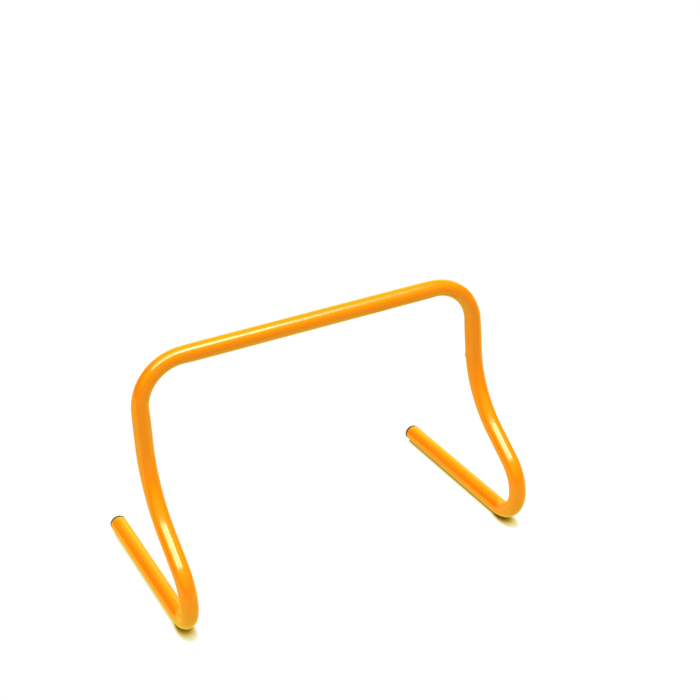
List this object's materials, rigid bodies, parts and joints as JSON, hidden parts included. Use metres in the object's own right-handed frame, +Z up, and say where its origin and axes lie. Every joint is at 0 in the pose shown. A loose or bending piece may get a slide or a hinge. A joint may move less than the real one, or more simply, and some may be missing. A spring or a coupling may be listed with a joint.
{
  "type": "agility hurdle",
  "caption": "Low jump gate bent from one length of round plastic tube, with hairpin feet on the floor, curved legs, a straight top bar and a push-in plug at the rear end of each foot.",
  "frame": {"origin": "on the floor, at the middle of the overall width and of the overall depth", "axes": "+X to the right along the bar, +Y to the rear, where the feet end, +Z up"},
  "size_m": [0.436, 0.2674, 0.305],
  "materials": {
    "tube_plastic": "glossy, smooth extruded",
    "plug_plastic": "satin moulded"
  },
  "bodies": {
    "root": {"bent_tube": "tube_plastic", "left_end_plug": "plug_plastic", "right_end_plug": "plug_plastic"}
  },
  "joints": []
}
